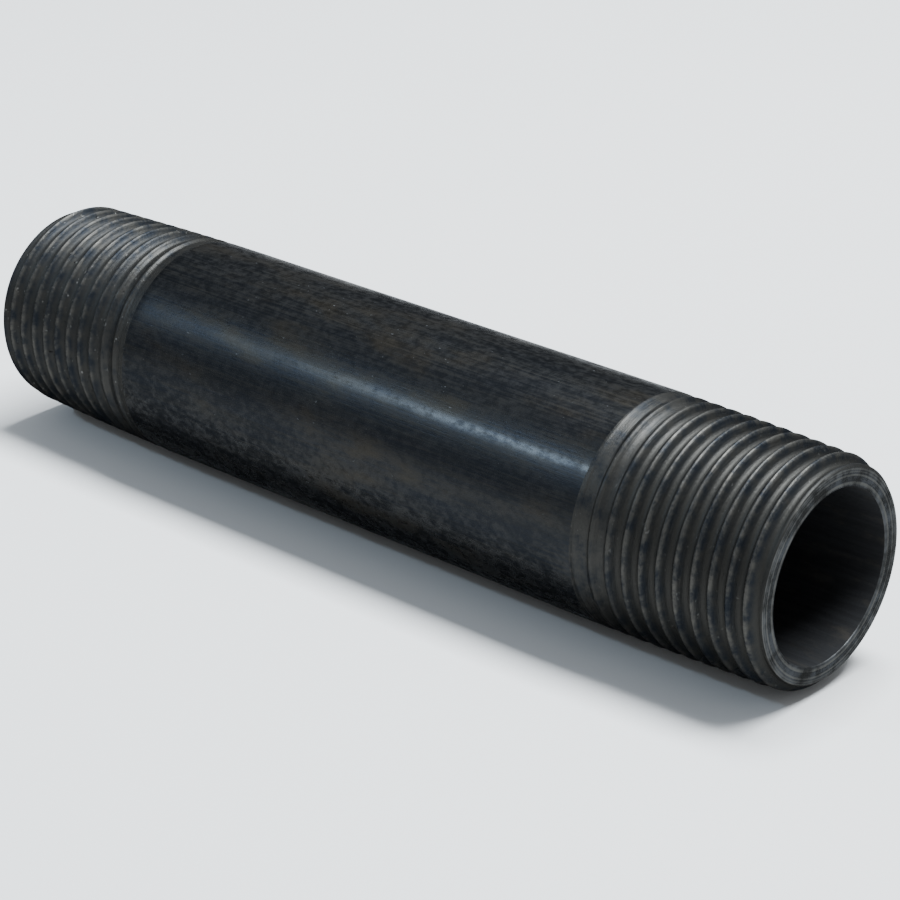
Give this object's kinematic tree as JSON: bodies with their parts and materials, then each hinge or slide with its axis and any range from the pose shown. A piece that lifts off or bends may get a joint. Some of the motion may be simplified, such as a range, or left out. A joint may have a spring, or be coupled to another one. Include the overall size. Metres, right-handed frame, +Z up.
{
  "type": "threaded pipe nipple",
  "caption": "Short length of black steel pipe with a right-hand taper pipe thread cut on each end and a plain barrel between.",
  "frame": {"origin": "on the pipe's axis, in the plane of the end ring of the end that a fitting holds", "axes": "+X along the pipe's axis, from the held end to the free end; +Z up as the pipe lies on its side; +Y completes the right-handed frame"},
  "size_m": [0.0762, 0.0172, 0.0172],
  "materials": {
    "black_steel": "black lacquered mill finish, semi-gloss, with bare cut steel showing through on the worn thread crests and the end rings"
  },
  "bodies": {
    "root": {"pipe_nipple": "black_steel"}
  },
  "joints": []
}
